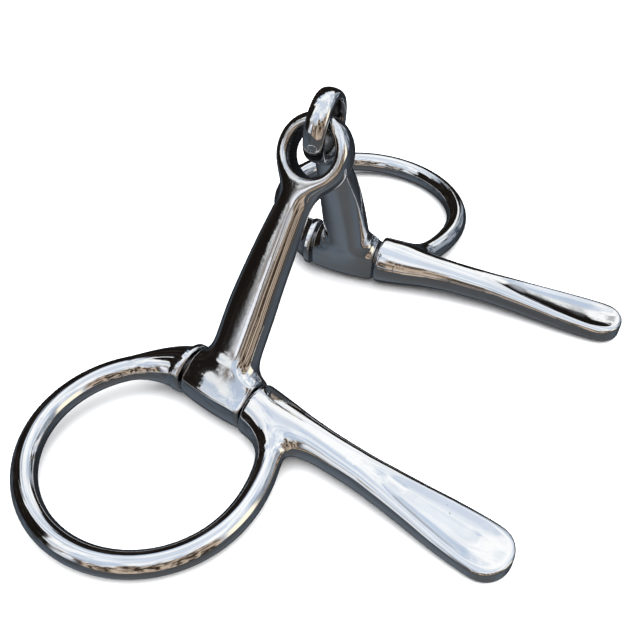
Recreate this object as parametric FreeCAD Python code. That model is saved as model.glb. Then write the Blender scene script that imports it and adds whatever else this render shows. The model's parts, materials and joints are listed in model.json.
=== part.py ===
"""Half spoon cheek snaffle bit: two cannons linked eye to eye, each with a barrel that turns on the pin of a cheek.

Row frame, in millimetres: +Z up, the floor at Z = 0, +X the way the spoon arms point, +Y across the mouthpiece.
Each kind of piece is drawn in its own frame and then placed in the stance in which the bit is stored: the cheeks
lie on the floor and the two cannons lean together above them like an A.

Cannon frame: origin where the cannon's middle line meets the pin, +X along the barrel to the spoon, +Z to the eye.
Cheek frame: the same origin, +X along the pin to the tip of the spoon, ring in the XY plane, the dished face of
the spoon towards +Z.
"""

import FreeCAD, Part
import math
import os

from FreeCAD import Matrix, Placement, Rotation, Vector

# ---- driving dimensions -------------------------------------------------------------------------------------
CANNON_LENGTH = 64.5        # barrel axis to the centre of the eye
CANNON_ROOT_WIDTH = 13.0    # along the barrel, just clear of it
CANNON_ROOT_DEPTH = 10.6    # across the barrel
CANNON_NECK_WIDTH = 8.2     # just below the eye
CANNON_NECK_DEPTH = 7.0

CANNON_ROOT_SPREAD = 0.8    # how much wider the bar is where it sinks into the barrel
CANNON_WAIST = 0.3          # how much slimmer than a straight taper the bar is two thirds of the way up
CANNON_ROOT_SHARE = 0.22    # share of the bar's height over which it keeps its root size
CANNON_WAIST_SHARE = 0.62
NECK_BITE = 1.0             # how far the bar runs into the eye

BARREL_BACK = 9.3           # from the cannon's middle line to the end on the ring's side
BARREL_FRONT = 10.4         # and to the end on the spoon's side
BARREL_END_RADIUS = 6.6
BARREL_BELLY_RADIUS = 7.2
BARREL_EDGE_ROUND = 0.5
ROOT_FILLET = 2.6           # where the cannon runs into the barrel

NEAR_EYE_OUTER_RADIUS = 9.7
NEAR_EYE_THICKNESS = 7.0
FAR_EYE_OUTER_RADIUS = 9.1
FAR_EYE_THICKNESS = 6.0
EYE_HOLE_RADIUS = 6.2
EYE_EDGE_ROUND = 1.3
EYE_SEAT = 2.2              # how far the near eye's bar sits from the middle of the far eye's hole
EYE_SLIP = 0.5              # how far the far eye has slid along the near eye's bar, away from the spoons

PIN_RADIUS = 3.2
PIN_RUNNING_GAP = 0.08      # radial clearance of the pin in the barrel
PIN_SOCKET_DEPTH = 6.0      # how deep the pin goes into the cheek at each end
SHOULDER_GAP = 0.45         # end float between the barrel and each shoulder of the cheek

RING_RADIUS = 28.6          # to the middle of the bar
RING_BAR_RADIUS = 3.2
RING_CENTRE_X = -0.9
RING_CENTRE_Y = 27.4
RING_BOSS_SWEEP = 30.0      # degrees of ring over which the bar swells into the boss
RING_FLARE_ANGLE = 52.0     # degrees from the pin line where the bar starts to flare towards the spoon arm
RING_WELD_ANGLE = 27.0      # where it runs into the arm
RING_FLARE_RADIUS = 5.4
# how the bar's radius grows, as (share of the way along, share of the growth)
BOSS_GROWTH = ((0, 0), (0.35, 0.06), (0.65, 0.36), (0.85, 0.75))
FLARE_GROWTH = ((0, 0), (0.35, 0.12), (0.7, 0.5), (1, 1))

ARM_LENGTH = 83.8           # origin to the tip of the spoon
SPOON_HALF_WIDTH = 7.4
SPOON_NOSE_FLARE = 1.0      # how much wider than the nose the blade may be at its start
SPOON_BLADE_LENGTH = 30.0   # from there to the nose
SPOON_TIP_HALF_THICKNESS = 2.3
# stations along the arm, as shares of its length: (share, half width, half thickness, rise above the pin line)
ARM_STATIONS = (
    (0.0, 6.6, 6.5, 0.0),
    (0.125, 6.05, 5.8, 0.3),
    (0.34, 4.55, 4.1, 1.0),
    (0.54, 5.5, 3.6, 0.9),
    (0.785, 7.1, 2.8, 0.2),
    (1.0, 7.9, 2.3, 0.0),
)
DISH_LENGTH = 34.0
DISH_WIDTH = 12.4
DISH_DEPTH = 1.3
DISH_TIP_MARGIN = 1.8       # rim left between the dish and the tip

# ---- stored stance ------------------------------------------------------------------------------------------
NEAR_TURN = -7.9            # degrees about Z from +X to each pin's direction
FAR_TURN = 7.9
NEAR_LEAN = 33.7            # degrees of the near cannon from upright, towards the far one


def ellipse_wire(centre, half_along_x, half_along_y):
    """An ellipse in a plane of constant Z, always started on the +X side so that lofts don't twist."""
    if half_along_x >= half_along_y:
        curve = Part.Ellipse(centre, half_along_x, half_along_y)
        edge = curve.toShape()
    else:
        edge = Part.Ellipse(centre, half_along_y, half_along_x).toShape()
        edge.rotate(centre, Vector(0, 0, 1), 90)
    return Part.Wire([edge])


def circle_wire(centre, normal, radius):
    return Part.Wire([Part.Circle(centre, normal, radius).toShape()])


def round_edges(solid, radius, chosen):
    """Fillets the edges for which chosen(edge) is true."""
    edges = [e for e in solid.Edges if chosen(e)]
    return solid.makeFillet(radius, edges)


# ---- cannon -------------------------------------------------------------------------------------------------
def barrel_blank():
    """The bellied sleeve on the end of a cannon, before it is bored."""
    back, front = -BARREL_BACK, BARREL_FRONT
    belly = Vector((back + front) / 2, BARREL_BELLY_RADIUS, 0)
    back_rim, front_rim = Vector(back, BARREL_END_RADIUS, 0), Vector(front, BARREL_END_RADIUS, 0)
    outline = [
        Part.Arc(back_rim, belly, front_rim).toShape(),
        Part.makeLine(front_rim, Vector(front, 0, 0)),
        Part.makeLine(Vector(front, 0, 0), Vector(back, 0, 0)),
        Part.makeLine(Vector(back, 0, 0), back_rim),
    ]
    sleeve = Part.Face(Part.Wire(outline)).revolve(Vector(0, 0, 0), Vector(1, 0, 0), 360)
    return round_edges(sleeve, BARREL_EDGE_ROUND, lambda e: e.BoundBox.XLength < 0.01)


def eye_blank(outer, thickness):
    """A ring of rounded section in the XY plane about the origin; its hole runs along Z."""
    inner, half = EYE_HOLE_RADIUS, thickness / 2
    corners = [Vector(inner, 0, -half), Vector(outer, 0, -half), Vector(outer, 0, half), Vector(inner, 0, half)]
    section = Part.Face(Part.makePolygon(corners + corners[:1]))
    ring = section.revolve(Vector(0, 0, 0), Vector(0, 0, 1), 360)
    return round_edges(ring, EYE_EDGE_ROUND, lambda e: True)


def cannon(hole_along_barrel):
    """One half of the mouthpiece. The eye's hole runs along the barrel, or across it."""
    if hole_along_barrel:
        eye = eye_blank(FAR_EYE_OUTER_RADIUS, FAR_EYE_THICKNESS)
        neck = CANNON_LENGTH - FAR_EYE_OUTER_RADIUS + NECK_BITE
    else:
        eye = eye_blank(NEAR_EYE_OUTER_RADIUS, NEAR_EYE_THICKNESS)
        neck = CANNON_LENGTH - NEAR_EYE_OUTER_RADIUS + NECK_BITE
    waist_width = (CANNON_ROOT_WIDTH + CANNON_NECK_WIDTH) / 2 - CANNON_WAIST
    waist_depth = (CANNON_ROOT_DEPTH + CANNON_NECK_DEPTH) / 2 - CANNON_WAIST
    stations = (
        (0.0, CANNON_ROOT_WIDTH + CANNON_ROOT_SPREAD, CANNON_ROOT_DEPTH),
        (CANNON_ROOT_SHARE, CANNON_ROOT_WIDTH, CANNON_ROOT_DEPTH),
        (CANNON_WAIST_SHARE, waist_width, waist_depth),
        (1.0, CANNON_NECK_WIDTH, CANNON_NECK_DEPTH),
    )
    sections = [ellipse_wire(Vector(0, 0, neck * s), w / 2, d / 2) for s, w, d in stations]
    bar = Part.makeLoft(sections, True)
    if hole_along_barrel:
        eye.rotate(Vector(0, 0, 0), Vector(0, 1, 0), 90)
    else:
        eye.rotate(Vector(0, 0, 0), Vector(1, 0, 0), 90)
    eye.translate(Vector(0, 0, CANNON_LENGTH))
    blank = barrel_blank().fuse(bar)
    blank = round_edges(blank, ROOT_FILLET, is_root_edge)
    whole = blank.fuse(eye)
    bore_radius = PIN_RADIUS + PIN_RUNNING_GAP
    bore = Part.makeCylinder(bore_radius, arm_start() - ring_face(), Vector(ring_face(), 0, 0), Vector(1, 0, 0))
    return whole.cut(bore)


def is_root_edge(edge):
    """True for the long seam where the bar comes out of the top of the barrel."""
    above_pin = BARREL_END_RADIUS / 2 < edge.BoundBox.Center.z < BARREL_BELLY_RADIUS + ROOT_FILLET
    return above_pin and edge.Length > BARREL_END_RADIUS * 2 - 1


# ---- cheek --------------------------------------------------------------------------------------------------
def arm_start():
    """Where the shoulder of the spoon arm faces the barrel."""
    return BARREL_FRONT + SHOULDER_GAP


def ring_face():
    """Where the ring's boss faces the other end of the barrel."""
    return -BARREL_BACK - SHOULDER_GAP


def arm_blank():
    """The half cheek before it is dished: round at its root, flattened and widened into a spoon."""
    start, reach = arm_start(), ARM_LENGTH - arm_start()
    sections = []
    for share, half_width, half_thickness, rise in ARM_STATIONS:
        wire = ellipse_wire(Vector(0, 0, 0), half_thickness, half_width)
        wire.rotate(Vector(0, 0, 0), Vector(0, 1, 0), 90)
        wire.translate(Vector(start + reach * share, 0, rise))
        sections.append(wire)
    bar = Part.makeLoft(sections, True)
    return bar.common(blade_outline().extrude(Vector(0, 0, 2 * BARREL_BELLY_RADIUS)))


def blade_outline():
    """The arm's outline in plan, as a face below it: open round the arm, drawn in to a round nose at the spoon."""
    nose_x, blade_x = ARM_LENGTH - SPOON_HALF_WIDTH, ARM_LENGTH - SPOON_HALF_WIDTH - SPOON_BLADE_LENGTH
    wide, blade, nose = 2 * SPOON_HALF_WIDTH, SPOON_HALF_WIDTH + SPOON_NOSE_FLARE, SPOON_HALF_WIDTH
    side = [(0, wide), (blade_x, wide), (blade_x, blade), (nose_x, nose)]
    upper = [Vector(x, y, -BARREL_BELLY_RADIUS) for x, y in side]
    lower = [Vector(x, -y, -BARREL_BELLY_RADIUS) for x, y in side[::-1]]
    tip = Vector(ARM_LENGTH, 0, -BARREL_BELLY_RADIUS)
    straight = list(zip(upper, upper[1:])) + list(zip(lower, lower[1:])) + [(lower[-1], upper[0])]
    edges = [Part.makeLine(a, b) for a, b in straight]
    edges.append(Part.Arc(upper[-1], tip, lower[0]).toShape())
    return Part.Face(Part.Wire(Part.__sortEdges__(edges)))


def spoon_arm():
    """The finished half cheek, dished and bored for the pin."""
    return arm_blank().cut(dish_tool()).cut(socket(arm_start(), 1))


def dish_tool():
    """A flattened egg that scoops the dish out of the spoon's upper face."""
    scoop = Part.makeSphere(1.0)
    matrix = Matrix()
    matrix.scale(DISH_LENGTH / 2, DISH_WIDTH / 2, DISH_DEPTH * 2)
    scoop = scoop.transformGeometry(matrix)
    centre_x = ARM_LENGTH - DISH_TIP_MARGIN - DISH_LENGTH / 2
    scoop.translate(Vector(centre_x, 0, SPOON_TIP_HALF_THICKNESS + DISH_DEPTH * 1.25))
    return scoop


def socket(shoulder_x, way):
    """The blind hole for the pin, from a shoulder into the cheek."""
    return Part.makeCylinder(PIN_RADIUS, PIN_SOCKET_DEPTH, Vector(shoulder_x, 0, 0), Vector(way, 0, 0))


def ring_point(degrees, outward=0.0):
    """A point on the middle of the ring's bar, and the bar's direction there. 0 is the point nearest the pin."""
    a = math.radians(degrees)
    radius = RING_RADIUS + outward
    point = Vector(RING_CENTRE_X + radius * math.sin(a), RING_CENTRE_Y - radius * math.cos(a), 0)
    return point, Vector(math.cos(a), math.sin(a), 0)


def ring_sections(from_angle, to_angle, full_radius, growth, inside_kept):
    """Round sections along the ring, growing from the bar's radius towards full_radius by the shares in growth.

    inside_kept is the share of the growth that goes outwards, which keeps the ring's inside round.
    """
    sections = []
    for share, grown in growth:
        extra = (full_radius - RING_BAR_RADIUS) * grown
        at, way = ring_point(from_angle + (to_angle - from_angle) * share, extra * inside_kept)
        sections.append(circle_wire(at, way, RING_BAR_RADIUS + extra))
    return sections


def cheek_ring(arm_blank):
    """The ring: a round bar bent into a circle, swollen into a boss at the pin and flared where it meets the arm."""
    face_x = ring_face()
    boss_angle = -math.degrees(math.asin((RING_CENTRE_X - face_x) / RING_RADIUS))
    bar_start, bar_end = RING_FLARE_ANGLE, boss_angle - RING_BOSS_SWEEP
    begin, direction = ring_point(bar_start)
    middle, _ = ring_point((bar_start + bar_end + 360) / 2)
    end, _ = ring_point(bar_end)
    spine = Part.Wire([Part.Arc(begin, middle, end).toShape()])
    bar = spine.makePipeShell([circle_wire(begin, direction, RING_BAR_RADIUS)], True, True)
    sections = ring_sections(bar_end, boss_angle, BARREL_END_RADIUS, BOSS_GROWTH, 0)
    sections.append(circle_wire(Vector(face_x, 0, 0), Vector(1, 0, 0), BARREL_END_RADIUS))
    boss = Part.makeLoft(sections, True)
    flare = Part.makeLoft(ring_sections(bar_start, RING_WELD_ANGLE, RING_FLARE_RADIUS, FLARE_GROWTH, 1), True)
    room = BARREL_BELLY_RADIUS + SHOULDER_GAP
    turning_room = Part.makeCylinder(room, arm_start() - face_x, Vector(face_x, 0, 0), Vector(1, 0, 0))
    whole = bar.fuse([boss, flare]).cut(turning_room).cut(socket(face_x, -1)).cut(arm_blank)
    return max(whole.Solids, key=lambda solid: solid.Volume)


def hinge_pin():
    """The plain pin, from the bottom of one socket to the bottom of the other."""
    back, front = ring_face() - PIN_SOCKET_DEPTH, arm_start() + PIN_SOCKET_DEPTH
    return Part.makeCylinder(PIN_RADIUS, front - back, Vector(back, 0, 0), Vector(1, 0, 0))


def mirrored(shape):
    """The other hand of a cheek piece: the ring on the -Y side."""
    return shape.mirror(Vector(0, 0, 0), Vector(0, 1, 0))


# ---- stance -------------------------------------------------------------------------------------------------
def axes_placement(origin, x_axis, z_hint):
    """The placement with +X along x_axis, and +Z as near to z_hint as that allows."""
    x = Vector(x_axis).normalize()
    z = Vector(z_hint) - x * x.dot(z_hint)
    z.normalize()
    y = z.cross(x)
    turn = Matrix(x.x, y.x, z.x, origin.x, x.y, y.y, z.y, origin.y, x.z, y.z, z.z, origin.z, 0, 0, 0, 1)
    return Placement(turn)


def ring_drop_angle(slope):
    """How far the cheek turns about its pin for the ring to touch the floor, where slope is the sine of the droop."""
    fall = BARREL_BELLY_RADIUS - RING_BAR_RADIUS - RING_CENTRE_X * slope
    y, r = RING_CENTRE_Y, RING_RADIUS
    a, b, c = y * y - r * r, -2 * fall * y, fall * fall - (r * slope) ** 2
    return math.asin((-b - math.sqrt(b * b - 4 * a * c)) / (2 * a))


def stance():
    """Placements of the four bodies, before the row is centred, by body name, and the link's pivot and axis."""
    droop = math.asin((BARREL_BELLY_RADIUS - SPOON_TIP_HALF_THICKNESS) / ARM_LENGTH)
    ring_drop = ring_drop_angle(math.sin(droop))

    def pin_axis(turn):
        a = math.radians(turn)
        return Vector(math.cos(a) * math.cos(droop), math.sin(a) * math.cos(droop), -math.sin(droop))

    def side_of(axis):
        return Vector(0, 0, 1).cross(axis).normalize()     # level, towards the far side

    def leaning(axis, lean, way):
        upright = Vector(0, 0, 1) - axis * axis.z
        upright.normalize()
        return upright * math.cos(lean) + side_of(axis) * (way * math.sin(lean))

    near_axis, far_axis = pin_axis(NEAR_TURN), pin_axis(FAR_TURN)
    near_centre = Vector(0, 0, BARREL_BELLY_RADIUS)
    near_up = leaning(near_axis, math.radians(NEAR_LEAN), 1)
    bar_middle = (NEAR_EYE_OUTER_RADIUS + EYE_HOLE_RADIUS) / 2
    pivot = near_centre + near_up * (CANNON_LENGTH + bar_middle) - near_axis * EYE_SLIP
    far_reach = CANNON_LENGTH + EYE_SEAT
    far_lean = math.acos((pivot.z - BARREL_BELLY_RADIUS) / far_reach / math.cos(droop))
    far_up = leaning(far_axis, far_lean, -1)
    far_centre = pivot - far_up * far_reach

    def cheek_up(axis, outward):
        flat = side_of(axis) * outward
        up = flat.cross(axis) * outward * -1
        return up * math.cos(ring_drop) + flat * math.sin(ring_drop)

    return {
        "near_cannon": axes_placement(near_centre, near_axis, near_up),
        "far_cannon": axes_placement(far_centre, far_axis, far_up),
        "near_cheek": axes_placement(near_centre, near_axis, cheek_up(near_axis, -1)),
        "far_cheek": axes_placement(far_centre, far_axis, cheek_up(far_axis, 1)),
    }, pivot, near_axis


def placed(shape, placement):
    return shape.transformed(placement.toMatrix())


def build():
    """Every piece in the row frame, by node name, with the shift that centred the row on its footprint."""
    places, pivot, link_axis = stance()
    arm = spoon_arm()
    ring = cheek_ring(arm_blank())
    pin = hinge_pin()
    pieces = {
        "near_cannon": placed(cannon(False), places["near_cannon"]),
        "far_cannon": placed(cannon(True), places["far_cannon"]),
        "near_spoon_arm": placed(mirrored(arm), places["near_cheek"]),
        "near_cheek_ring": placed(mirrored(ring), places["near_cheek"]),
        "near_hinge_pin": placed(pin, places["near_cheek"]),
        "far_spoon_arm": placed(arm, places["far_cheek"]),
        "far_cheek_ring": placed(ring, places["far_cheek"]),
        "far_hinge_pin": placed(pin, places["far_cheek"]),
    }
    box = Part.makeCompound(list(pieces.values())).optimalBoundingBox(False)
    shift = Vector(-box.Center.x, -box.Center.y, -box.ZMin)
    for shape in pieces.values():
        shape.translate(shift)
    return pieces, places, pivot, link_axis, shift


def main():
    os.makedirs("parts", exist_ok=True)
    pieces = build()[0]
    for name, shape in pieces.items():
        solid = shape.Solids[0]
        print(f"{name}: {len(shape.Solids)} solid, valid {solid.isValid()}, {solid.Volume / 1000:.2f} cm3")
        solid.exportStep(f"parts/{name}.step")


if __name__ == "__main__":
    main()
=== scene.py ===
import json
import math

import bpy
import numpy as np
from mathutils import Matrix, Vector


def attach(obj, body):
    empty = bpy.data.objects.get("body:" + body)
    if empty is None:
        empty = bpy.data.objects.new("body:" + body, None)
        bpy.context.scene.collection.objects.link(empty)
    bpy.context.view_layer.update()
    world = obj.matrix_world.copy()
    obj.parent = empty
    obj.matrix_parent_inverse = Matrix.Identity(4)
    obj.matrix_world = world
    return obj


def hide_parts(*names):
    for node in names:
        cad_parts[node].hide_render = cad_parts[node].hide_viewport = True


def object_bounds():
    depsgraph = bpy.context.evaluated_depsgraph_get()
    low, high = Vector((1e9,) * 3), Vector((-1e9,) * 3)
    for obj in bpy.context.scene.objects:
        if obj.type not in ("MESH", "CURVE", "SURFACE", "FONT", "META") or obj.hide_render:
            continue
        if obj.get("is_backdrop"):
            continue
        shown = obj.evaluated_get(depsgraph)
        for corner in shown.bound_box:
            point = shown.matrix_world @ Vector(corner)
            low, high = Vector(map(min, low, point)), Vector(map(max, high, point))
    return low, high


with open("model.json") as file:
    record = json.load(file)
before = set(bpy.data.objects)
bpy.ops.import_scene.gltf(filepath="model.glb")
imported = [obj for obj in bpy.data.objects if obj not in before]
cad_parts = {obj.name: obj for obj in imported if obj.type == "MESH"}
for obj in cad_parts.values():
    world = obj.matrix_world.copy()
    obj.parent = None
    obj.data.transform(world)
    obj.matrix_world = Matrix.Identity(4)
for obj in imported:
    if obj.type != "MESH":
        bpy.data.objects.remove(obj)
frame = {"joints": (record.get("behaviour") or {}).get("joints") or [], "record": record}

bl_info = {
    "name": "Half spoon cheek snaffle",
    "version": (1, 0, 0),
    "blender": (4, 5, 0),
    "location": "3D View > Sidebar > Snaffle",
    "description": "Builds a polished steel snaffle bit around its packed frame",
    "category": "Add Mesh",
}

CAD_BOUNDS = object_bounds()
MM = 0.001
JOINTS = {joint["name"]: joint for joint in frame["joints"]}
MOUNTS = {mount["name"]: mount for mount in frame["record"]["mounts"]}


# ---- where each piece stands -----------------------------------------------------------------------------
class Seat:
    """A piece's own frame in the row: origin in millimetres, and its X, Y and Z as the columns of turn."""

    def __init__(self, origin, x_axis, z_hint):
        x = np.array(x_axis, float)
        x /= np.linalg.norm(x)
        z = np.array(z_hint, float)
        z -= x * (x @ z)
        z /= np.linalg.norm(z)
        self.origin = np.array(origin, float)
        self.turn = np.stack([x, np.cross(z, x), z], 1)

    def to_row(self, points):
        return (points @ self.turn.T + self.origin) * MM

    def turn_to_row(self, directions):
        return directions @ self.turn.T


def seats(slip):
    """The four seats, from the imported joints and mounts. slip is how far the eyes have slid on each other."""
    near_pin, far_pin = JOINTS["near_cheek_hinge"], JOINTS["far_cheek_hinge"]
    near_origin = np.array(near_pin["pos_m"]) / MM
    far_origin = np.array(far_pin["pos_m"]) / MM
    link = np.array(JOINTS["eye_link"]["pos_m"]) / MM
    near_x, far_x = -np.array(near_pin["axis"]), np.array(far_pin["axis"])
    return {
        "near_cannon": Seat(near_origin, near_x, link + near_x * slip - near_origin),
        "far_cannon": Seat(far_origin, far_x, link - far_origin),
        "near_cheek": Seat(near_origin, near_x, MOUNTS["near_strap_ring"]["axis"]),
        "far_cheek": Seat(far_origin, far_x, MOUNTS["far_strap_ring"]["axis"]),
    }


# ---- distance fields -------------------------------------------------------------------------------------
def blend_in(a, b, radius):
    """The union of two fields with a fillet of about the given radius between them."""
    h = np.maximum(radius - np.abs(a - b), 0) / radius
    return np.minimum(a, b) - h * h * h * radius / 6


def trim_to(a, b, radius):
    """The part of a inside b, its new edge rounded."""
    return -blend_in(-a, -b, radius)


def ease(value, low, high):
    t = np.clip((value - low) / (high - low), 0, 1)
    return t * t * (3 - 2 * t)


def along(value, stations, column):
    """A smooth curve through one column of a table of stations whose first column is the place."""
    places = np.array([s[0] for s in stations], float)
    values = np.array([s[column] for s in stations], float)
    steps = np.diff(places)
    rises = np.diff(values) / steps
    slopes = np.zeros(len(values))
    same_way = rises[:-1] * rises[1:] > 0
    slopes[1:-1][same_way] = 2 / (1 / rises[:-1][same_way] + 1 / rises[1:][same_way])
    slopes[0], slopes[-1] = rises[0], rises[-1]
    clipped = np.clip(value, places[0], places[-1])
    i = np.clip(np.searchsorted(places, clipped, side="right") - 1, 0, len(steps) - 1)
    t = (clipped - places[i]) / steps[i]
    a, b = values[i], values[i + 1]
    t2, t3 = t * t, t * t * t
    return (
        a * (2 * t3 - 3 * t2 + 1)
        + b * (3 * t2 - 2 * t3)
        + slopes[i] * steps[i] * (t3 - 2 * t2 + t)
        + slopes[i + 1] * steps[i] * (t3 - t2)
    )


def oval(u, v, half_u, half_v, power=2.0):
    """Distance, to first order, from a rounded bar's section with the given half sizes and squareness."""
    p = np.abs(u / half_u) + 1e-6
    q = np.abs(v / half_v) + 1e-6
    total = p**power + q**power
    level = total ** (1 / power)
    steepness = np.hypot(p ** (power - 1) / half_u, q ** (power - 1) / half_v)
    return (level - 1) / (total ** (1 / power - 1) * steepness)


# ---- the two castings ------------------------------------------------------------------------------------
# stations up a cannon: height above the barrel's axis, half width along the barrel, half depth across it, bow
NEAR_CANNON_STATIONS = (
    (0, 6.7, 5.4, 0.0),
    (10, 6.65, 5.3, -0.1),
    (20, 6.6, 5.1, -0.5),
    (30, 6.1, 4.8, -0.7),
    (40, 5.45, 4.4, -0.6),
    (50, 4.65, 3.75, -0.35),
    (58, 4.2, 3.35, -0.2),
)
FAR_CANNON_STATIONS = (
    (0, 6.9, 5.4, 1.2),
    (10, 6.8, 5.3, 1.2),
    (20, 6.5, 5.0, 1.2),
    (30, 6.1, 4.7, 1.1),
    (40, 5.6, 4.15, 0.8),
    (50, 4.9, 3.0, 0.3),
    (58, 4.3, 2.6, -0.2),
)

FAR_EYE_SHIFT = -0.5        # how far the far eye sits off the bar's middle, towards the ring
EYE_CLEAR = 7.0             # the bar stops this far short of the eye's centre
NECK_FILLET = 7.0           # where the bar runs into the eye
EYE_FLAT_EDGE = 1.6         # rounding of the eye's flats
HOLE_EDGE = 1.2             # rounding of the hole's rim
BARREL_FILLET = 7.5         # where the bar runs into the barrel
BARREL_END_ROUND = 1.8
SADDLE_TOP = 30.0           # the barrel's flattened sides and ends stop below this height
BORE_EDGE = 0.3
FAR_SIDE = 4.0              # a distance that leaves the rest of the casting alone


def barrel_span(sizes):
    """The middle of the barrel along the pin, and half its length."""
    back, front = sizes.barrel_back / MM, sizes.barrel_front / MM
    return (front - back) / 2, (front + back) / 2


def barrel_field(x, y, z, sizes):
    middle, half = barrel_span(sizes)
    end, belly = sizes.barrel_end_radius / MM, sizes.barrel_belly_radius / MM
    radius = belly - (belly - end) * ((x - middle) / half) ** 2
    round_part = np.hypot(y, z) - radius
    return trim_to(round_part, np.abs(x - middle) - half, 2.0)


def bar_and_eye(x, y, z, sizes, hole_along_barrel):
    """The tapered bar run into its eye, flattened on both sides and pierced."""
    length, hole = sizes.cannon_length / MM, sizes.eye_hole_radius / MM
    if hole_along_barrel:
        stations, squareness = FAR_CANNON_STATIONS, 2.0
        thickness, outer = sizes.far_eye_thickness / MM, sizes.far_eye_outer_radius / MM
        flat_way, across = x - FAR_EYE_SHIFT, y
        below, spread = 9.0, 0.22
    else:
        stations, squareness = NEAR_CANNON_STATIONS, 2.5
        thickness, outer = sizes.near_eye_thickness / MM, sizes.near_eye_outer_radius / MM
        flat_way, across = y, x
        below, spread = 0.0, 0.02
    width, depth, bow = (along(z, stations, column) for column in (1, 2, 3))
    bar = oval(x - bow, y, width, depth, 2.1)
    bar = trim_to(bar, np.abs(z - length / 2) - length / 2 + EYE_CLEAR, 2.0)
    from_hole = np.hypot(across, z - length)
    bar = trim_to(bar, hole + 0.9 - from_hole, HOLE_EDGE)
    eye = oval(
        from_hole - (hole + outer) / 2, flat_way, (outer - hole) / 2 + 0.15, thickness / 2, squareness
    )
    flat = np.abs(flat_way) - thickness / 2 - np.clip(length - below - z, 0, None) * spread - 0.1
    body = trim_to(blend_in(bar, eye, NECK_FILLET), flat, EYE_FLAT_EDGE)
    return trim_to(body, hole - from_hole, HOLE_EDGE)


def crest_of(along_barrel, z):
    """How far each flattened side of the barrel stands from the middle plane.

    along_barrel is -1 at the ring's end and 1 at the spoon's. The sides widen downwards and fall away to
    both ends.
    """
    middle = 5.3 + 1.8 * (np.clip(9 - z, 0, 14) / 10) ** 2
    spoon_end = along_barrel**2 * (0.1 + 0.19 * np.clip(z + 2, 0, 8))
    spoon_end = spoon_end + 1.4 * np.clip(along_barrel - 0.5, 0, None) ** 2
    ring_end = np.clip(-along_barrel - 0.1, 0, None) ** 2 * (0.75 + 0.3 * np.clip(z - 3, 0, 4))
    return middle - np.where(along_barrel > 0, spoon_end, ring_end) * (1 - ease(z, 9, 16))


def cannon_field(x, y, z, sizes, hole_along_barrel):
    """One half of the mouthpiece: barrel, tapered bar and eye in one casting, in the cannon's own frame."""
    body = bar_and_eye(x, y, z, sizes, hole_along_barrel)
    body = blend_in(body, barrel_field(x, y, z, sizes), BARREL_FILLET)
    middle, half = barrel_span(sizes)
    along_barrel = (x - middle) / half
    sides = (np.abs(y) - crest_of(along_barrel, z)) * 0.95
    ends = (np.abs(along_barrel) - 1) * half
    body = trim_to(body, np.where(z < SADDLE_TOP, sides, -FAR_SIDE), 0.3)
    body = trim_to(body, np.where(z < SADDLE_TOP, ends, -FAR_SIDE), BARREL_END_ROUND)
    bore = (sizes.pin_radius + sizes.pin_gap) / MM
    return trim_to(body, bore - np.hypot(y, z), BORE_EDGE)


# ---- the cheek -------------------------------------------------------------------------------------------
# stations along the arm: place, half width, half thickness, rise above the pin, squareness of the section
ARM_STATIONS = (
    (9.8, 6.75, 6.7, 0.0, 2.0),
    (14, 6.6, 6.4, 0.1, 2.0),
    (19, 6.15, 5.8, 0.3, 2.05),
    (27, 5.1, 4.8, 0.8, 2.2),
    (35, 4.6, 4.15, 1.0, 2.4),
    (43, 4.6, 3.8, 1.0, 2.6),
    (50, 5.05, 3.5, 0.9, 2.9),
    (58, 5.75, 3.2, 0.6, 3.3),
    (68, 6.85, 2.75, 0.25, 3.8),
    (76, 7.4, 2.45, 0.05, 4.0),
    (85, 7.45, 2.3, 0.0, 4.0),
)
# stations along the dish: place, half width, depth
DISH_STATIONS = (
    (42, 0.6, 0.0),
    (49, 2.2, 0.2),
    (56, 3.8, 0.75),
    (63, 5.0, 0.9),
    (69, 5.8, 0.9),
    (76, 6.3, 0.9),
    (84, 6.3, 0.9),
)
DISH_START = 40.0
DISH_NOSE, DISH_END = 72.5, 9.6     # where the dish's end begins to round off, and how long that takes
DISH_RIM = 0.35
NOSE_RADIUS = 7.4                   # of the spoon's tip, seen from above
NOSE_ROUND = 1.3


def arm_field(x, y, z, sizes):
    """The spoon arm, from its shoulder to the rounded tip, with the dish sunk in its upper face."""
    half_width, half_height, rise, power = (along(x, ARM_STATIONS, column) for column in (1, 2, 3, 4))
    section = oval(y, z - rise, half_width, half_height, power)
    past_nose = x - sizes.arm_length / MM + NOSE_RADIUS
    plan = np.where(past_nose > 0, np.hypot(past_nose, y), np.abs(y)) - NOSE_RADIUS
    section = trim_to(section, plan, NOSE_ROUND)
    dish_width, dish_depth = along(x, DISH_STATIONS, 1), along(x, DISH_STATIONS, 2)
    past = np.clip(x - DISH_NOSE, 0, None) / DISH_END
    floor = rise + half_height - dish_depth * (1 - past**2.4 - np.abs(y / dish_width) ** 3)
    cut = np.where(x < DISH_START, -3.0, z - floor) * 0.9
    return trim_to(section, np.minimum(cut, 3.0), DISH_RIM)


RING_SWELL = (12, 54)       # degrees round from the pin over which the boss thins down to the ring's bar
BOSS_END = -90
WELD_TURN, WELD_SPREAD, WELD_PUSH = 47, 20, 1.2     # the ring bends outwards here, on its way to the arm
ARM_WEB = 8.5               # fillet between ring and arm
SHOULDER_ROUND = 2.0
STUB = 1.4                  # length of the boss's plain end
BARREL_ROOM = 10.0          # radius that the cheek keeps clear round the barrel
ROOM_EDGE = 1.1


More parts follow.
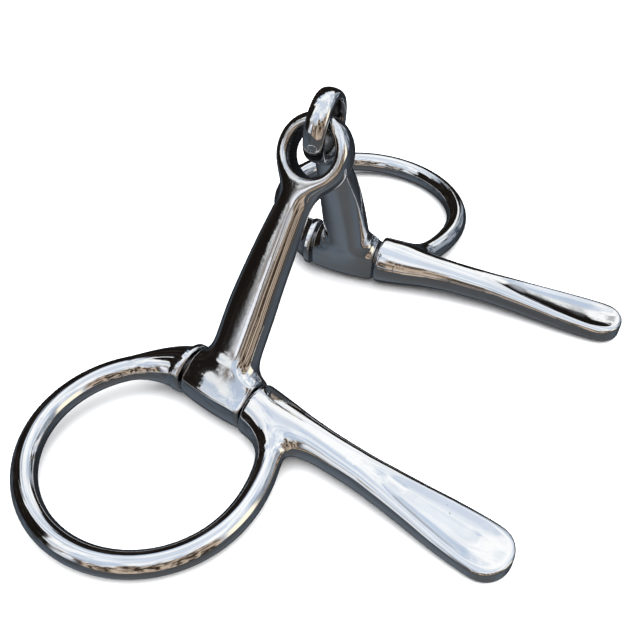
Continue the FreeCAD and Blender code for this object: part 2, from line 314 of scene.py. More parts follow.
def cheek_field(x, y, z, sizes):
    """Ring and spoon arm, run together with a web, in the cheek's own frame with the ring on the +Y side."""
    ring_radius, bar_radius = sizes.ring_radius / MM, sizes.ring_bar_radius / MM
    centre_x, centre_y = sizes.ring_centre_x / MM, sizes.ring_centre_y / MM
    middle, half = barrel_span(sizes)
    gap, end = sizes.shoulder_gap / MM, sizes.barrel_end_radius / MM
    from_pin = np.hypot(y, z)
    turn = np.degrees(np.arctan2(x - centre_x, centre_y - y))
    reach = np.hypot(x - centre_x, y - centre_y)
    boss = (1 - ease(-turn, *RING_SWELL)) * (turn < 0) * (turn > BOSS_END)
    push = WELD_PUSH * np.exp(-(((turn - WELD_TURN) / WELD_SPREAD) ** 2))
    ring = np.hypot(reach - ring_radius - push, z) - bar_radius - (end - bar_radius) * boss
    stub_middle = middle - half - gap - STUB / 2
    stub = np.maximum(np.abs(x - stub_middle) - STUB / 2, from_pin - end)
    arm = trim_to(arm_field(x, y, z, sizes), middle + half + gap - x, SHOULDER_ROUND)
    ring_side = blend_in(ring, stub, 3.0)
    arm_side = blend_in(np.where(x > 0, ring, 9.0), arm, ARM_WEB)
    whole = np.where(x > 0, arm_side, ring_side)
    off_barrel = np.abs(x - middle) - half - gap
    whole = trim_to(whole, -np.maximum(off_barrel, from_pin - BARREL_ROOM), ROOM_EDGE)
    socket = np.maximum(off_barrel - sizes.socket_depth / MM, from_pin - sizes.pin_radius / MM)
    return np.maximum(whole, -socket)


# ---- meshing ---------------------------------------------------------------------------------------------
def slope_of(field, points, reach=0.02):
    slope = np.zeros_like(points)
    for axis in range(3):
        step = np.zeros(3)
        step[axis] = reach
        slope[:, axis] = (field(*(points + step).T) - field(*(points - step).T)) / (2 * reach)
    return slope


def settle(field, points, limit):
    """Moves points on to the surface of the field."""
    for _ in range(3):
        slope = slope_of(field, points)
        size = np.maximum((slope**2).sum(1), 0.05)
        move = -(field(*points.T) / size)[:, None] * slope
        length = np.linalg.norm(move, axis=1, keepdims=True)
        points = points + move * np.minimum(1, limit / np.maximum(length, 1e-9))
    return points


def skin(field, low, high, step):
    """Points, quads and normals of the field's zero surface, with one point in each cell that it passes."""
    axes = [np.arange(a, b + step, step) for a, b in zip(low, high)]
    values = np.empty([len(a) for a in axes], np.float32)
    for i, x in enumerate(axes[0]):
        values[i] = field(np.full((1, 1), x), axes[1][:, None], axes[2][None, :])
    inside = values < 0
    corners = [(a, b, c) for a in (0, 1) for b in (0, 1) for c in (0, 1)]
    shape = [n - 1 for n in values.shape]

    def corner_of(grid, corner):
        a, b, c = corner
        return grid[a : a + shape[0], b : b + shape[1], c : c + shape[2]]

    count = sum(corner_of(inside, corner).astype(np.int8) for corner in corners)
    cells = np.argwhere((count > 0) & (count < 8))
    number = np.full(shape, -1, np.int64)
    number[tuple(cells.T)] = np.arange(len(cells))
    at = {corner: values[tuple((cells + corner).T)] for corner in corners}
    total, crossings = np.zeros((len(cells), 3)), np.zeros(len(cells))
    for a in corners:
        for axis in range(3):
            if a[axis]:
                continue
            b = tuple(1 if k == axis else a[k] for k in range(3))
            crossed = (at[a] < 0) != (at[b] < 0)
            share = np.where(crossed, at[a] / np.where(crossed, at[a] - at[b], 1), 0)
            place = np.tile(np.array(a, float), (len(cells), 1))
            place[:, axis] = share
            total += place * crossed[:, None]
            crossings += crossed
    points = (cells + total / crossings[:, None]) * step + np.array(low, float)
    quads = []
    for axis in range(3):
        u, v = (axis + 1) % 3, (axis + 2) % 3
        first = np.take(inside, range(values.shape[axis] - 1), axis)
        second = np.take(inside, range(1, values.shape[axis]), axis)
        for way, edges in ((1, first & ~second), (-1, ~first & second)):
            where = np.argwhere(edges)
            where = where[(where[:, u] > 0) & (where[:, v] > 0)]
            where = where[(where[:, u] < shape[u]) & (where[:, v] < shape[v])]
            around = []
            for du, dv in ((1, 1), (0, 1), (0, 0), (1, 0)):
                cell = where.copy()
                cell[:, u] -= du
                cell[:, v] -= dv
                around.append(number[tuple(cell.T)])
            quads.append(np.stack(around[::way], 1))
    quads = np.concatenate(quads)
    points = settle(field, points, step / 2)
    pairs = np.concatenate([quads[:, [i, (i + 1) % 4]] for i in range(4)])
    for _ in range(3):
        near = np.zeros_like(points)
        for axis in range(3):
            near[:, axis] = np.bincount(pairs[:, 0], points[pairs[:, 1], axis], len(points))
            near[:, axis] += np.bincount(pairs[:, 1], points[pairs[:, 0], axis], len(points))
        times = np.bincount(pairs.ravel(), minlength=len(points))
        points = settle(field, points * 0.45 + near / times[:, None] * 0.55, step / 2)
    normals = slope_of(field, points)
    normals /= np.linalg.norm(normals, axis=1, keepdims=True)
    return points, quads, normals


def piece_from(name, field, low, high, step, seat, mirrored, material, made):
    """A mesh object of the field's surface, set in the row. Its material reads the attribute made."""
    points, quads, normals = skin(field, low, high, step)
    coordinates = made(points)
    if mirrored:
        points, normals = points * (1, -1, 1), normals * (1, -1, 1)
        quads = quads[:, ::-1]
    mesh = bpy.data.meshes.new(name)
    mesh.vertices.add(len(points))
    mesh.vertices.foreach_set("co", seat.to_row(points).astype(np.float32).ravel())
    mesh.loops.add(quads.size)
    mesh.loops.foreach_set("vertex_index", quads.ravel().astype(np.int32))
    mesh.polygons.add(len(quads))
    mesh.polygons.foreach_set("loop_start", np.arange(0, quads.size, 4, dtype=np.int32))
    mesh.update(calc_edges=True)
    mesh.validate()
    mesh.polygons.foreach_set("use_smooth", np.ones(len(mesh.polygons), bool))
    attribute = mesh.attributes.new("made", "FLOAT_VECTOR", "POINT")
    attribute.data.foreach_set("vector", coordinates.astype(np.float32).ravel())
    mesh.materials.append(material)
    if len(mesh.vertices) == len(points):
        mesh.normals_split_custom_set_from_vertices(seat.turn_to_row(normals).tolist())
    piece = bpy.data.objects.new(name, mesh)
    bpy.context.scene.collection.objects.link(piece)
    return piece


# ---- shader maths ----------------------------------------------------------------------------------------
class Value:
    """A socket with Math nodes behind its operators. Colours go through mix_colour, vectors elsewhere."""

    def __init__(self, tree, socket):
        self.tree, self.socket = tree, socket

    def _math(self, operation, *others):
        made = node(self.tree, "ShaderNodeMath", {"operation": operation}, *others)
        return Value(self.tree, made.outputs[0])

    def __add__(self, other):
        return self._math("ADD", self, other)

    def __sub__(self, other):
        return self._math("SUBTRACT", self, other)

    def __mul__(self, other):
        return self._math("MULTIPLY", self, other)

    def __truediv__(self, other):
        return self._math("DIVIDE", self, other)

    def __pow__(self, other):
        return self._math("POWER", self, other)

    def __rsub__(self, other):
        return self._math("SUBTRACT", other, self)

    def __rtruediv__(self, other):
        return self._math("DIVIDE", other, self)

    __radd__, __rmul__ = __add__, __mul__

    def absolute(self):
        return self._math("ABSOLUTE", self)

    def arcsine(self):
        return self._math("ARCSINE", self)

    def rise(self, low, high):
        """0 below low, 1 above high and a smooth step between."""
        settings = {"interpolation_type": "SMOOTHSTEP", "clamp": True}
        made = node(self.tree, "ShaderNodeMapRange", settings, self, low, high, 0.0, 1.0)
        return Value(self.tree, made.outputs[0])


def node(tree, kind, settings, *values, **named):
    """Any node: its settings first, then the values or links of its sockets, in order or by name."""
    made = tree.nodes.new(kind)
    for key, setting in settings.items():
        setattr(made, key, setting)
    pairs = list(zip([s for s in made.inputs if s.enabled], values))
    pairs += [(made.inputs[key.replace("_", " ")], value) for key, value in named.items()]
    for socket, value in pairs:
        if value is None:
            continue
        if isinstance(value, Value):
            tree.links.new(value.socket, socket)
        else:
            socket.default_value = value
    return made


def out(tree, made, index=0):
    return Value(tree, made.outputs[index])


def mix_colour(tree, share, first, second):
    made = node(tree, "ShaderNodeMix", {"data_type": "RGBA"}, share, first, second)
    return Value(tree, next(s for s in made.outputs if s.enabled))


def scaled(tree, vector, factors):
    made = node(tree, "ShaderNodeVectorMath", {"operation": "MULTIPLY"}, vector, factors)
    return out(tree, made)


def noise(tree, vector, scale, detail=2.0, roughness=0.5, distortion=0.0):
    settings = {"noise_dimensions": "3D"}
    made = node(
        tree, "ShaderNodeTexNoise", settings,
        Vector=vector, Scale=scale, Detail=detail, Roughness=roughness, Distortion=distortion,
    )
    return out(tree, made)


def principled(material):
    material.use_nodes = True
    return material.node_tree, material.node_tree.nodes["Principled BSDF"]


SPECK_BROWN = (0.16, 0.15, 0.145, 1)
RUB_BLACK = (0.09, 0.085, 0.08, 1)
POLISH_DEPTH = 0.00006      # metres of relief for a height of 1
TURNING_DEPTH = 0.00002


def polished_steel(name, colour, seed, worn_radius=None, eye_height=0.0):
    """Mirror polished stainless steel: faint lines of the polishing belt, soft waves, haze and specks."""
    material = bpy.data.materials.new(name)
    tree, shader = principled(material)
    attribute = {"attribute_name": "made", "attribute_type": "GEOMETRY"}
    made = out(tree, node(tree, "ShaderNodeAttribute", attribute), "Vector")
    place = out(tree, node(tree, "ShaderNodeTexCoord", {}), "Object")
    shift = (seed, seed * 1.7, 0)
    shifted = out(tree, node(tree, "ShaderNodeVectorMath", {"operation": "ADD"}, made, shift))
    lines = noise(tree, scaled(tree, shifted, (0.05, 2.6, 2.6)), 1.0, 3.0, 0.6)
    fine_lines = noise(tree, scaled(tree, shifted, (0.12, 9.0, 9.0)), 1.0, 2.0, 0.6)
    waves = noise(tree, scaled(tree, shifted, (0.5, 1.0, 1.0)), 0.34, 2.0, 0.45)
    haze = noise(tree, place, 55.0, 4.0, 0.6)
    specks = noise(tree, place, 620.0, 2.0, 0.5).rise(0.70, 0.78) * haze.rise(0.52, 0.66)
    dents = noise(tree, place, 190.0, 1.0, 0.4).rise(0.60, 0.80)
    red, green, blue = colour
    hazed = (red * 0.93, green * 0.93, blue * 0.93, 1)
    warmed = (red, green * 0.975, blue * 0.94, 1)
    shade = mix_colour(tree, haze.rise(0.35, 0.7), hazed, (*colour, 1))
    shade = mix_colour(tree, lines.rise(0.45, 0.75) * 0.35, shade, warmed)
    shade = mix_colour(tree, specks * 0.7, shade, SPECK_BROWN)
    rough = 0.035 + haze.rise(0.4, 0.8) * 0.05 + lines.rise(0.5, 0.8) * 0.06 + specks * 0.25
    height = waves * 0.55 + lines * 0.018 + fine_lines * 0.006 - dents * 0.05 - specks * 0.05
    if worn_radius:
        parts = node(tree, "ShaderNodeSeparateXYZ", {}, made)
        across, rise_up = out(tree, parts, 1), out(tree, parts, 2) - eye_height
        distance = (across * across + rise_up * rise_up) ** 0.5
        rub = 1 - distance.rise(worn_radius + 0.1, worn_radius + 1.0)
        scuffs = noise(tree, made, 1.8, 3.0, 0.7)
        rough = rough + rub * (0.10 + scuffs.rise(0.4, 0.7) * 0.16)
        shade = mix_colour(tree, rub * (0.75 + scuffs.rise(0.35, 0.75) * 0.2), shade, RUB_BLACK)
    bump = node(tree, "ShaderNodeBump", {}, Strength=1.0, Distance=POLISH_DEPTH, Height=height)
    shader.inputs["Metallic"].default_value = 1.0
    tree.links.new(shade.socket, shader.inputs["Base Color"])
    tree.links.new(rough.socket, shader.inputs["Roughness"])
    tree.links.new(bump.outputs[0], shader.inputs["Normal"])
    return material


def turned_steel(name, colour):
    """The pins: plain turned steel with rings left by the lathe tool."""
    material = bpy.data.materials.new(name)
    tree, shader = principled(material)
    place = out(tree, node(tree, "ShaderNodeTexCoord", {}), "Object")
    rings = noise(tree, scaled(tree, place, (9000.0, 40.0, 40.0)), 1.0, 1.0, 0.5)
    grease = noise(tree, place, 400.0, 3.0, 0.6)
    greasy = (*(channel * 0.55 for channel in colour), 1)
    shade = mix_colour(tree, grease.rise(0.4, 0.7), (*colour, 1), greasy)
    tree.links.new(shade.socket, shader.inputs["Base Color"])
    tree.links.new((0.22 + rings * 0.2 + grease * 0.1).socket, shader.inputs["Roughness"])
    bump = node(tree, "ShaderNodeBump", {}, Strength=0.6, Distance=TURNING_DEPTH, Height=rings)
    tree.links.new(bump.outputs[0], shader.inputs["Normal"])
    shader.inputs["Metallic"].default_value = 1.0
    return material


def pale_backdrop():
    """A wall that is simply pale, however it is lit."""
    material = bpy.data.materials.new("pale backdrop")
    shader = principled(material)[1]
    shader.inputs["Base Color"].default_value = (0, 0, 0, 1)
    shader.inputs["Roughness"].default_value = 1.0
    shader.inputs["Specular IOR Level"].default_value = 0.0
    shader.inputs["Emission Color"].default_value = (0.93, 0.935, 0.94, 1)
    shader.inputs["Emission Strength"].default_value = 1.0
    return material


def pale_floor():
    material = bpy.data.materials.new("pale floor")
    tree, shader = principled(material)
    place = out(tree, node(tree, "ShaderNodeTexCoord", {}), "Object")
    mottle = noise(tree, place, 9.0, 3.0, 0.5)
    shade = mix_colour(tree, mottle, (0.86, 0.865, 0.87, 1), (0.88, 0.88, 0.88, 1))
    tree.links.new(shade.socket, shader.inputs["Base Color"])
    shader.inputs["Roughness"].default_value = 0.9
    shader.inputs["Specular IOR Level"].default_value = 0.1
    return material


# ---- settings --------------------------------------------------------------------------------------------
def length(label, description, default):
    return bpy.props.FloatProperty(
        name=label, description=description, default=default, min=-0.2, max=0.5, precision=5, unit="LENGTH"
    )


class SNAFFLE_PG_sizes(bpy.types.PropertyGroup):
    """Sizes of the bit's pieces."""

    cannon_length: length("Cannon", "Barrel axis to the centre of the eye", 0.0645)
    barrel_back: length("Barrel back", "Pin's origin to the barrel's end on the ring's side", 0.0093)
    barrel_front: length("Barrel front", "Pin's origin to the barrel's end on the spoon's side", 0.0104)
    barrel_end_radius: length("Barrel end", "Radius at either end of the barrel", 0.0066)
    barrel_belly_radius: length("Barrel belly", "Radius at the middle of the barrel", 0.0072)
    near_eye_outer_radius: length("Near eye outside", "Outer radius of the near eye", 0.0097)
    far_eye_outer_radius: length("Far eye outside", "Outer radius of the far eye", 0.0091)
    eye_hole_radius: length("Eye hole", "Radius of the eye's hole", 0.0062)
    near_eye_thickness: length("Near eye thickness", "Along the near eye's hole", 0.007)
    far_eye_thickness: length("Far eye thickness", "Along the far eye's hole", 0.0060)
    eye_slip: length("Eye slip", "How far the far eye has slid along the near one", 0.0005)
    pin_radius: length("Pin", "Radius of the hinge pins", 0.0032)
    pin_gap: length("Pin clearance", "Radial clearance of a pin in its barrel", 0.00008)
    socket_depth: length("Socket depth", "How deep a pin goes into each shoulder", 0.006)
    pin_chamfer: length("Pin chamfer", "Broken edge at either end of a pin", 0.0004)
    shoulder_gap: length("Shoulder gap", "Between the barrel and each shoulder of the cheek", 0.00045)
    ring_radius: length("Ring", "To the middle of the ring's bar", 0.0286)
    ring_bar_radius: length("Ring bar", "Radius of the ring's bar", 0.0032)
    ring_centre_x: length("Ring centre along", "Along the pin from the barrel's middle", -0.0009)
    ring_centre_y: length("Ring centre out", "Outwards from the barrel's middle", 0.0274)
    arm_length: length("Arm", "Pin's origin to the tip of the spoon", 0.0838)


class SNAFFLE_PG_finish(bpy.types.PropertyGroup):
    """Colours and fineness of the finish."""

    steel: bpy.props.FloatVectorProperty(
        name="Steel", description="Colour of the polished steel", default=(0.83, 0.835, 0.84),
        subtype="COLOR", size=3, min=0, max=1,
    )
    pin_steel: bpy.props.FloatVectorProperty(
        name="Pin steel", description="Colour of the turned pins", default=(0.45, 0.45, 0.46),
        subtype="COLOR", size=3, min=0, max=1,
    )
    fineness: bpy.props.FloatProperty(
        name="Fineness", description="Size of the mesh's cells", default=0.00034, min=0.0001, max=0.002,
        precision=5, unit="LENGTH",
    )


CANNON_REACH = 9.8          # half the depth of the space that a cannon is made in
BARREL_REACH = 8.6          # and how far that space goes below the pin
CHEEK_BELOW, CHEEK_ABOVE, CHEEK_ASIDE = 7.6, 7.8, 9.0


def step_of(scene):
    """The size of a mesh's cells, in millimetres."""
    step = scene.snaffle_finish.fineness / MM
    return step


# ---- pieces ----------------------------------------------------------------------------------------------
class SNAFFLE_OT_cannons(bpy.types.Operator):
    """Make the two halves of the mouthpiece, each one casting of barrel, bar and eye"""

    bl_idname = "snaffle.cannons"
    bl_label = "Cannons"

    def execute(self, context):
        scene = context.scene
        sizes, finish, step = scene.snaffle_sizes, scene.snaffle_finish, step_of(scene)
        places = seats(sizes.eye_slip / MM)
        top = (sizes.cannon_length + sizes.near_eye_outer_radius) / MM + 1
        side = sizes.barrel_front / MM + 1.0
        for name, along_barrel, seed in (("near_cannon", False, 11.0), ("far_cannon", True, 3.0)):
            worn = sizes.eye_hole_radius / MM

            def field(x, y, z, turned=along_barrel):
                return cannon_field(x, y, z, sizes, turned)

            def made(points, turned=along_barrel):
                across = points[:, 1] if turned else points[:, 0]
                flat = points[:, 0] if turned else points[:, 1]
                return np.stack([flat, across, points[:, 2]], 1)

            height = sizes.cannon_length / MM
            label = name.replace("_", " ") + " steel"
            material = polished_steel(label, tuple(finish.steel), seed, worn, height)
            low, high = (-side, -CANNON_REACH, -BARREL_REACH), (side, CANNON_REACH, top)
            piece = piece_from(name + "_casting", field, low, high, step, places[name], False, material, made)
            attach(piece, name + "_half")
            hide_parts(name)
        return {"FINISHED"}


class SNAFFLE_OT_cheeks(bpy.types.Operator):
    """Make the two cheeks, each a ring and a spoon arm run together"""

    bl_idname = "snaffle.cheeks"
    bl_label = "Cheeks"

    def execute(self, context):
        scene = context.scene
        sizes, finish, step = scene.snaffle_sizes, scene.snaffle_finish, step_of(scene)
        places = seats(sizes.eye_slip / MM)
        reach = (sizes.ring_radius + sizes.ring_bar_radius) / MM + 1.2
        low = (sizes.ring_centre_x / MM - reach, -CHEEK_ASIDE, -CHEEK_BELOW)
        high = (sizes.arm_length / MM + 1.5, sizes.ring_centre_y / MM + reach, CHEEK_ABOVE)
        centre = (sizes.ring_centre_x / MM, sizes.ring_centre_y / MM)
        radius = sizes.ring_radius / MM

        def field(x, y, z):
            return cheek_field(x, y, z, sizes)

        def made(points):
            x, y, z = points.T
            turn = np.abs(np.arctan2(x - centre[0], centre[1] - y))
            out_by = np.hypot(x - centre[0], y - centre[1]) - radius
            in_arm = ease(x - 12 - np.clip(y, 0, None) * 1.2, 0, 10)
            ring_part = np.stack([turn * radius, out_by, z], 1)
            arm_part = np.stack([x, y, z], 1)
            return ring_part * (1 - in_arm[:, None]) + arm_part * in_arm[:, None]

        for side, seed in (("near", 7.0), ("far", 19.0)):
            material = polished_steel(side + " cheek steel", tuple(finish.steel), seed)
            seat, mirrored = places[side + "_cheek"], side == "near"
            name = side + "_cheek_forging"
            piece = piece_from(name, field, low, high, step, seat, mirrored, material, made)
            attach(piece, side + "_cheek")
            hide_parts(side + "_spoon_arm", side + "_cheek_ring")
        return {"FINISHED"}


PIN_END_PLAY = 0.00005      # metres between a pin's end and the bottom of its socket
PIN_STATIONS = 81           # sections along a pin
PIN_FACETS = 96
CHAMFER_RUN = 0.0006        # how far along the pin its chamfer reaches


def pin_tree(material):
    """Geometry Nodes for a pin: a round bar along X with broken edges."""
    tree = bpy.data.node_groups.new("turned pin", "GeometryNodeTree")
    tree.interface.new_socket("Geometry", in_out="OUTPUT", socket_type="NodeSocketGeometry")
    for label, default in (("Length", 0.03), ("Radius", 0.0032), ("Chamfer", 0.0004)):
        socket = tree.interface.new_socket(label, in_out="INPUT", socket_type="NodeSocketFloat")
        socket.default_value = default
    given = node(tree, "NodeGroupInput", {})
    length_in, radius_in, chamfer_in = (out(tree, given, label) for label in ("Length", "Radius", "Chamfer"))
    half = length_in * 0.5
    start = out(tree, node(tree, "ShaderNodeCombineXYZ", {}, half * -1))
    end = out(tree, node(tree, "ShaderNodeCombineXYZ", {}, half))
    line = out(tree, node(tree, "GeometryNodeCurvePrimitiveLine", {}, Start=start, End=end))
    cut = node(tree, "GeometryNodeResampleCurve", {"mode": "COUNT"}, Curve=line, Count=PIN_STATIONS)
    run = out(tree, node(tree, "GeometryNodeSplineParameter", {}), "Length")
    from_end = half - (run - half).absolute()
    radius = radius_in - (1 - from_end.rise(0.0, CHAMFER_RUN)) * chamfer_in
    by_radius = {"mode": "RADIUS"}
    circle = node(tree, "GeometryNodeCurvePrimitiveCircle", by_radius, Resolution=PIN_FACETS, Radius=1.0)
    swept = node(
        tree, "GeometryNodeCurveToMesh", {},
        Curve=out(tree, cut), Profile_Curve=out(tree, circle), Scale=radius, Fill_Caps=True,
    )
    real = out(tree, node(tree, "GeometryNodeRealizeInstances", {}, out(tree, swept)))
    dressed = node(tree, "GeometryNodeSetMaterial", {}, Geometry=real, Material=material)
    node(tree, "NodeGroupOutput", {}, out(tree, dressed))
    return tree


class SNAFFLE_OT_pins(bpy.types.Operator):
    """Make the two hinge pins"""

    bl_idname = "snaffle.pins"
    bl_label = "Hinge pins"

    def execute(self, context):
        sizes, finish = context.scene.snaffle_sizes, context.scene.snaffle_finish
        places = seats(sizes.eye_slip / MM)
        tree = pin_tree(turned_steel("turned pin steel", tuple(finish.pin_steel)))
        middle, half = barrel_span(sizes)
        whole = (half * MM + sizes.shoulder_gap + sizes.socket_depth - PIN_END_PLAY) * 2
        given = {"Length": whole, "Radius": sizes.pin_radius, "Chamfer": sizes.pin_chamfer}
        for side in ("near", "far"):
            blank = bpy.data.objects.new(side + "_pin_blank", bpy.data.meshes.new("blank"))
            context.scene.collection.objects.link(blank)
            modifier = blank.modifiers.new("turned pin", "NODES")
            modifier.node_group = tree
            for item in tree.interface.items_tree:
                if item.in_out == "INPUT" and item.name in given:
                    modifier[item.identifier] = given[item.name]
            context.view_layer.update()
            mesh = bpy.data.meshes.new_from_object(blank.evaluated_get(context.evaluated_depsgraph_get()))
            bpy.data.objects.remove(blank)
            seat = places[side + "_cheek"]
            turn = Matrix(seat.turn.tolist()).to_4x4()
            to_seat = Matrix.Translation(Vector(seat.origin * MM)) @ turn
            mesh.transform(to_seat @ Matrix.Translation((middle * MM, 0, 0)))
            mesh.polygons.foreach_set("use_smooth", np.ones(len(mesh.polygons), bool))
            mesh.set_sharp_from_angle(angle=math.radians(35))
            piece = bpy.data.objects.new(side + "_turned_pin", mesh)
            context.scene.collection.objects.link(piece)
            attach(piece, side + "_cheek")
            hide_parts(side + "_hinge_pin")
        return {"FINISHED"}


# ---- stage -----------------------------------------------------------------------------------------------
CLOUD_WHITE, SKY_BLUE = (1.05, 1.06, 1.06, 1), (0.50, 0.60, 0.76, 1)
ZENITH_BLUE, HAZE_GREY = (0.42, 0.52, 0.70, 1), (0.48, 0.50, 0.53, 1)
GAP_BROWN, GAP_LIGHT = (0.20, 0.15, 0.11, 1), (0.95, 0.98, 1.05, 1)
SHADE_NAVY, SHADE_BLUE = (0.035, 0.05, 0.075, 1), (0.34, 0.38, 0.44, 1)
CREAM = (1.15, 1.05, 0.84, 1)
PLANK_DARK, PLANK_LIGHT = (0.035, 0.024, 0.016, 1), (0.58, 0.46, 0.36, 1)
WALL_BLACK, WALL_SHEEN = (0.010, 0.008, 0.007, 1), (0.05, 0.043, 0.038, 1)
SLATE_BELOW, SLATE_AWAY = (0.12, 0.135, 0.155, 1), (0.048, 0.055, 0.065, 1)
SLATE_STREAK, SLATE_BROWN = (0.095, 0.125, 0.165, 1), (0.075, 0.07, 0.063, 1)
GROUND_BLACK = (0.012, 0.013, 0.015, 1)
WALL_SOFT = 3               # degrees over which a wall's top fades


def studio_world(world):
    """Surroundings for the steel to reflect: cloud overhead, dark and brown walls with gaps, slate ground.

    Angles are degrees: compass angles from +X towards +Y, heights from the horizon.
    """
    world.use_nodes = True
    tree = world.node_tree
    background = tree.nodes["Background"]
    way = out(tree, node(tree, "ShaderNodeTexCoord", {}))
    parts = node(tree, "ShaderNodeSeparateXYZ", {}, way)
    x, y, up = (out(tree, parts, i) for i in range(3))
    height = up.arcsine() * (180 / math.pi)
    level = (x * x + y * y + 0.0001) ** 0.5

    def sector(centre, half, soft):
        """1 in the directions within half of the centre's compass angle, fading over soft on either side."""
        angle = math.radians(centre)
        facing = (x * math.cos(angle) + y * math.sin(angle)) / level
        return facing.rise(math.cos(math.radians(half + soft)), math.cos(math.radians(max(half - soft, 0))))

    def below(top, soft=WALL_SOFT):
        return 1 - (height - top).rise(-soft, soft)

    def paint(share, shade, colour):
        return mix_colour(tree, share, shade, colour)

    cloud = noise(tree, scaled(tree, way, (1.0, 1.0, 1.4)), 2.4, 5.0, 0.6, 0.6)
    upright = noise(tree, scaled(tree, way, (1.0, 1.0, 0.16)), 9.0, 3.0, 0.6, 0.3)
    ragged = noise(tree, way, 5.0, 4.0, 0.65)
    uneven = ragged - 0.5

    shade = paint(cloud.rise(0.36, 0.60), SKY_BLUE, CLOUD_WHITE)
    shade = paint(height.rise(66, 84) * 0.55, shade, ZENITH_BLUE)
    low_sky = (1 - height.rise(20, 62)) * (1 - sector(93, 22, 16))
    shade = paint(low_sky * 0.45, shade, HAZE_GREY)
    light_gap = paint(upright.rise(0.42, 0.58), GAP_BROWN, GAP_LIGHT)
    gap_band = height.rise(10, 20) * (1 - height.rise(26, 36))
    shade = paint(sector(262, 24, 5) * gap_band * 0.9, shade, light_gap)
    blue_shade = paint(ragged.rise(0.42, 0.56), SHADE_NAVY, SHADE_BLUE)
    shade = paint(sector(54, 30, 7) * below(36 + uneven * 40, 4), shade, blue_shade)
    shade = paint(sector(12, 13, 5) * (1 - height.rise(28, 36)), shade, CREAM)
    planks = paint(upright.rise(0.40, 0.62), PLANK_DARK, PLANK_LIGHT)
    plank_top = 44 + uneven * 50 - sector(262, 10, 12) * 22
    shade = paint(sector(304, 50, 5) * below(plank_top), shade, planks)
    wall = paint(upright.rise(0.5, 0.66) * 0.6, WALL_BLACK, WALL_SHEEN)
    wall_top = 24 + sector(160, 30, 35) * 27 + sector(95, 18, 12) * 3 + sector(206, 13, 12) * 22 + uneven * 40
    shade = paint(sector(161, 76, 5) * below(wall_top), shade, wall)

    slate = paint(height.rise(-75, -8), SLATE_BELOW, SLATE_AWAY)
    slate = paint(upright.rise(0.42, 0.66) * 0.7, slate, SLATE_STREAK)
    slate = paint(sector(310, 45, 40) * 0.6, slate, SLATE_BROWN)
    slate = paint(sector(112, 60, 35) * 0.85, slate, GROUND_BLACK)
    horizon = height + sector(305, 35, 20) * 15
    shade = paint(horizon.rise(-3.0, 1.5), slate, shade)
    tree.links.new(shade.socket, background.inputs["Color"])
    background.inputs["Strength"].default_value = 1.15


FLOOR_HALF = 4.0
WALL_RADIUS, WALL_FOOT, WALL_TOP, WALL_SIDES = 3.9, -0.01, 6.0, 96
LAMP_PLACE, LAMP_SIZE, LAMP_WATTS = (0.2, -0.1, 1.3), 2.4, 60.0
LENS = 49.73
EYE = (0.07302, -0.16073, 0.17384)
RIGHT = (0.87844, 0.47783, 0.00487)
BACK = (0.35154, -0.65309, 0.67074)


def stage_mesh(name, points, faces, material):
    """A piece of the stage that the steel doesn't reflect."""
    mesh = bpy.data.meshes.new(name)
    mesh.from_pydata(points, [], faces)
    mesh.materials.append(material)
    piece = bpy.data.objects.new(name, mesh)
    piece.visible_glossy = False
    bpy.context.scene.collection.objects.link(piece)
    return piece


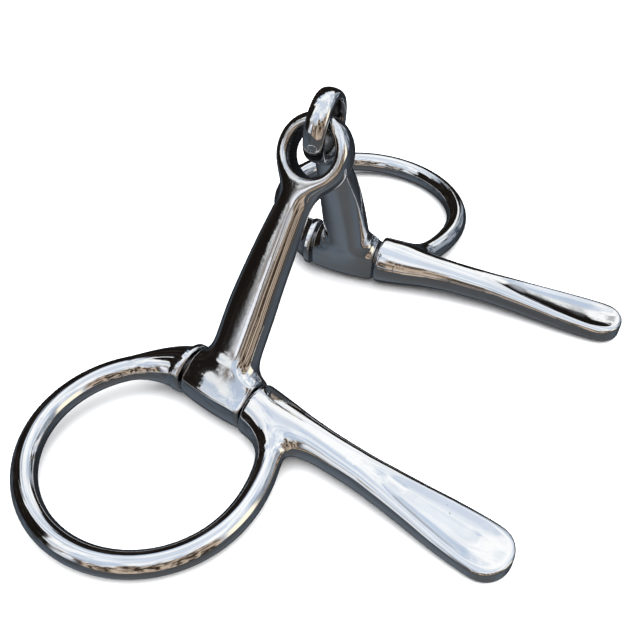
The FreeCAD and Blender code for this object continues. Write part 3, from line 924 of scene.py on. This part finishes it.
class SNAFFLE_OT_stage(bpy.types.Operator):
    """Set the floor, the backdrop, the lights and the camera"""

    bl_idname = "snaffle.stage"
    bl_label = "Stage"

    def execute(self, context):
        scene = context.scene
        corners = [(x * FLOOR_HALF, y * FLOOR_HALF, 0) for x, y in ((-1, -1), (1, -1), (1, 1), (-1, 1))]
        floor = stage_mesh("floor", corners, [(0, 1, 2, 3)], pale_floor())
        floor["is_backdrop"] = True
        turns = [2 * math.pi * i / WALL_SIDES for i in range(WALL_SIDES)]
        ring = [(math.cos(turn) * WALL_RADIUS, math.sin(turn) * WALL_RADIUS) for turn in turns]
        points = [(x, y, z) for z in (WALL_FOOT, WALL_TOP) for x, y in ring]
        pairs = [(i, (i + 1) % WALL_SIDES) for i in range(WALL_SIDES)]
        faces = [(b, a, a + WALL_SIDES, b + WALL_SIDES) for a, b in pairs]
        wall = stage_mesh("backdrop", points, faces, pale_backdrop())
        wall.visible_diffuse = wall.visible_shadow = wall.visible_transmission = False
        wall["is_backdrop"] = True
        scene.world = bpy.data.worlds.new("studio")
        studio_world(scene.world)
        lamp = bpy.data.lights.new("overhead softbox", "AREA")
        lamp.shape, lamp.size, lamp.energy = "DISK", LAMP_SIZE, LAMP_WATTS
        top = bpy.data.objects.new("overhead softbox", lamp)
        top.location = LAMP_PLACE
        top.visible_glossy = False
        scene.collection.objects.link(top)
        scene.view_settings.view_transform = "Standard"
        camera = bpy.data.cameras.new("camera")
        camera.sensor_width = 36.0
        camera.lens = LENS
        camera.clip_start = 0.01
        holder = bpy.data.objects.new("camera", camera)
        right, back = Vector(RIGHT), Vector(BACK)
        turn = Matrix((right, back.cross(right), back)).transposed().to_4x4()
        holder.matrix_world = Matrix.Translation(EYE) @ turn
        scene.collection.objects.link(holder)
        scene.camera = holder
        return {"FINISHED"}


class SNAFFLE_PT_sidebar(bpy.types.Panel):
    """The bit's pieces and their sizes"""

    bl_idname = "SNAFFLE_PT_sidebar"
    bl_label = "Half spoon cheek snaffle"
    bl_space_type = "VIEW_3D"
    bl_region_type = "UI"
    bl_category = "Snaffle"

    def draw(self, context):
        column = self.layout.column()
        for group in (context.scene.snaffle_sizes, context.scene.snaffle_finish):
            for key in group.__annotations__:
                column.prop(group, key)
        for operator in STEPS:
            column.operator(operator.bl_idname)


STEPS = (SNAFFLE_OT_cannons, SNAFFLE_OT_cheeks, SNAFFLE_OT_pins, SNAFFLE_OT_stage)
CLASSES = (SNAFFLE_PG_sizes, SNAFFLE_PG_finish, *STEPS, SNAFFLE_PT_sidebar)


def register():
    for kind in CLASSES:
        bpy.utils.register_class(kind)
    bpy.types.Scene.snaffle_sizes = bpy.props.PointerProperty(type=SNAFFLE_PG_sizes)
    bpy.types.Scene.snaffle_finish = bpy.props.PointerProperty(type=SNAFFLE_PG_finish)


def unregister():
    del bpy.types.Scene.snaffle_finish
    del bpy.types.Scene.snaffle_sizes
    for kind in reversed(CLASSES):
        bpy.utils.unregister_class(kind)


def main():
    register()
    bpy.ops.snaffle.cannons()
    bpy.ops.snaffle.cheeks()
    bpy.ops.snaffle.pins()
    bpy.ops.snaffle.stage()
    plain = [[list(corner) for corner in bounds] for bounds in (CAD_BOUNDS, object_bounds())]


if __name__ == "__main__":
    main()
